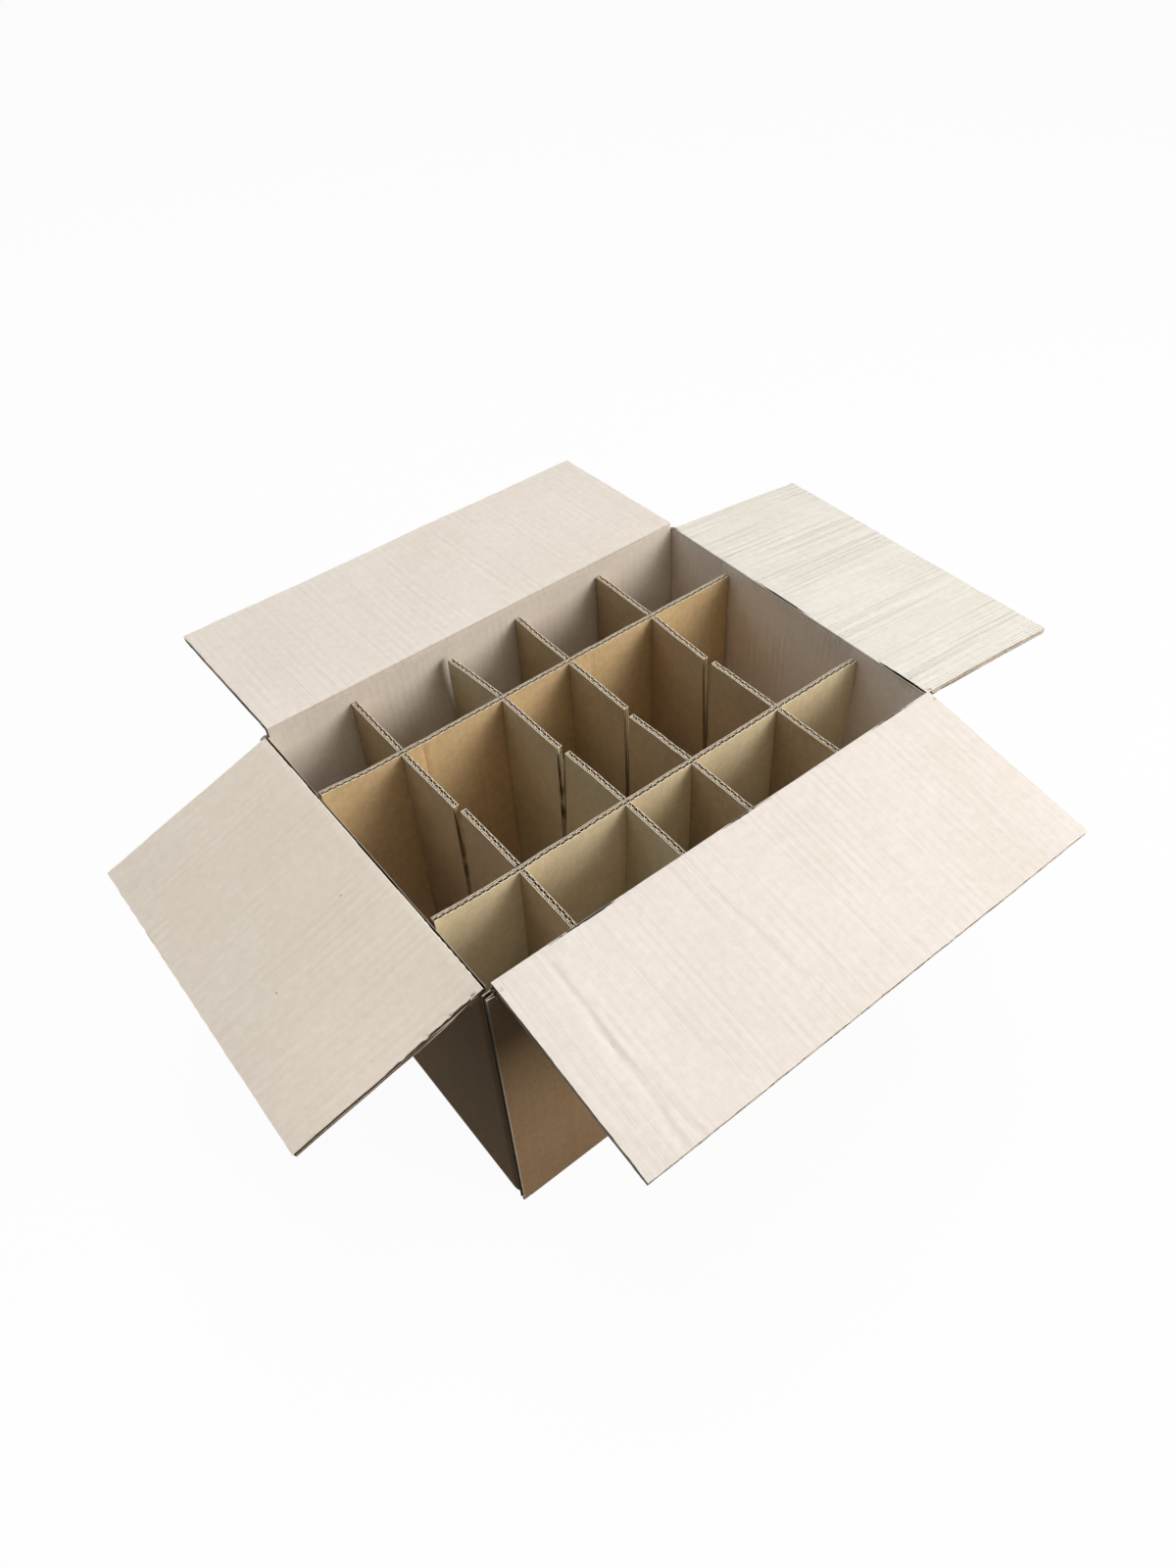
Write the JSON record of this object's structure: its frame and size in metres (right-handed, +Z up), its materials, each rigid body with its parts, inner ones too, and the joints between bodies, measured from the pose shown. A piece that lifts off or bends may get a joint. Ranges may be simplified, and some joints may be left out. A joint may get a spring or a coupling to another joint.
{
  "type": "bottle shipping box",
  "caption": "Open corrugated shipping box for bottles, with hinged top flaps folded outwards and slotted cross dividers that make a cell for each bottle.",
  "frame": {"origin": "middle of the underside of the closed bottom flaps, on the ground", "axes": "+X along the long front wall to the right, +Y from the front wall to the back wall, +Z up"},
  "size_m": [0.7894, 0.6685, 0.3359],
  "materials": {
    "carton_board": "matte kraft liner",
    "divider_board": "matte kraft liner with raw fluted edges"
  },
  "bodies": {
    "carton": {"carton_body": "carton_board", "long_divider_back": "divider_board", "long_divider_front": "divider_board", "cross_divider_back_1": "divider_board", "cross_divider_back_2": "divider_board", "cross_divider_back_3": "divider_board", "cross_divider_back_4": "divider_board", "cross_divider_front_1": "divider_board", "cross_divider_front_2": "divider_board", "cross_divider_front_3": "divider_board", "cross_divider_front_4": "divider_board"},
    "front_flap": {"front_flap": "carton_board"},
    "back_flap": {"back_flap": "carton_board"},
    "left_end_flap": {"left_end_flap": "carton_board"},
    "right_end_flap": {"right_end_flap": "carton_board"}
  },
  "joints": [
    {"name": "front_flap_fold", "type": "hinge", "parent": "carton", "child": "front_flap", "pos_m": [0, -0.168, 0.333], "axis": [-1, 0, 0], "range_deg": [-49, 191]},
    {"name": "back_flap_fold", "type": "hinge", "parent": "carton", "child": "back_flap", "pos_m": [0, 0.168, 0.333], "axis": [1, 0, 0], "range_deg": [-58, 182]},
    {"name": "left_end_flap_fold", "type": "hinge", "parent": "carton", "child": "left_end_flap", "pos_m": [-0.2315, 0, 0.3267], "axis": [0, 1, 0], "range_deg": [-41.5, 198.5]},
    {"name": "right_end_flap_fold", "type": "hinge", "parent": "carton", "child": "right_end_flap", "pos_m": [0.2315, 0, 0.3267], "axis": [0, -1, 0], "range_deg": [-53, 187]}
  ]
}
